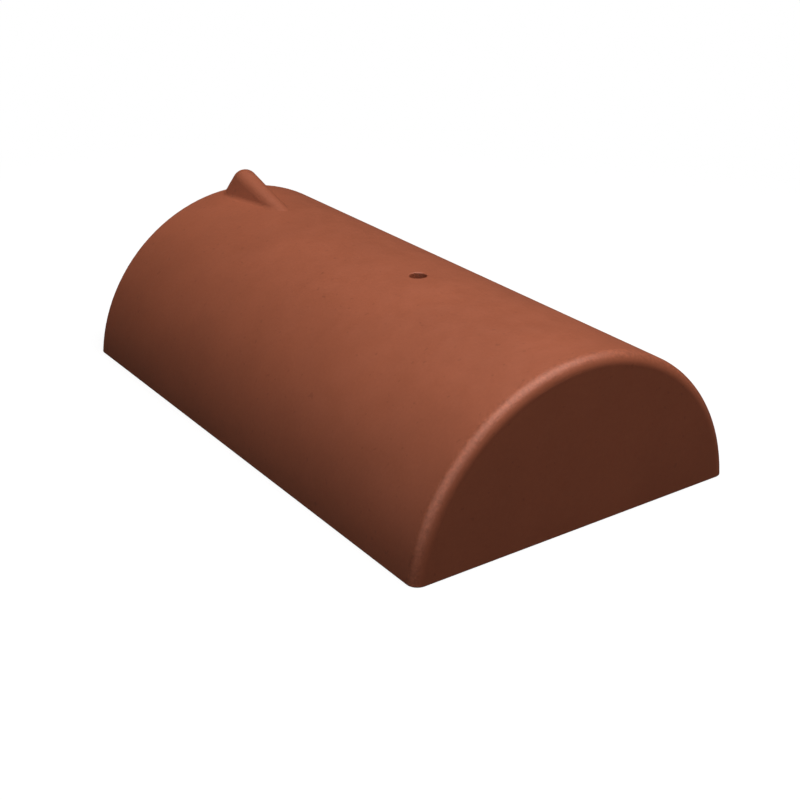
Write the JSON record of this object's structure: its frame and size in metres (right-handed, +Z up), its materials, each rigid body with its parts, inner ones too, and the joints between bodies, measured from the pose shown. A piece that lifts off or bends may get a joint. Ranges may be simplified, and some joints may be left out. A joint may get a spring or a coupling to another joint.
{
  "type": "ridge end tile",
  "caption": "Half-round fired clay ridge tile, open below and at one end, closed by a flat wall at the other, with a wedge nib and a fixing hole on its crown.",
  "frame": {"origin": "middle of the base rectangle, on the floor the tile lies on", "axes": "+X across the tile, +Y along it from the closed end to the open end, +Z up to the crown"},
  "size_m": [0.2498, 0.424, 0.1309],
  "materials": {
    "clay": "matt unglazed terracotta"
  },
  "bodies": {
    "root": {"ridge_end_tile": "clay"}
  },
  "joints": []
}
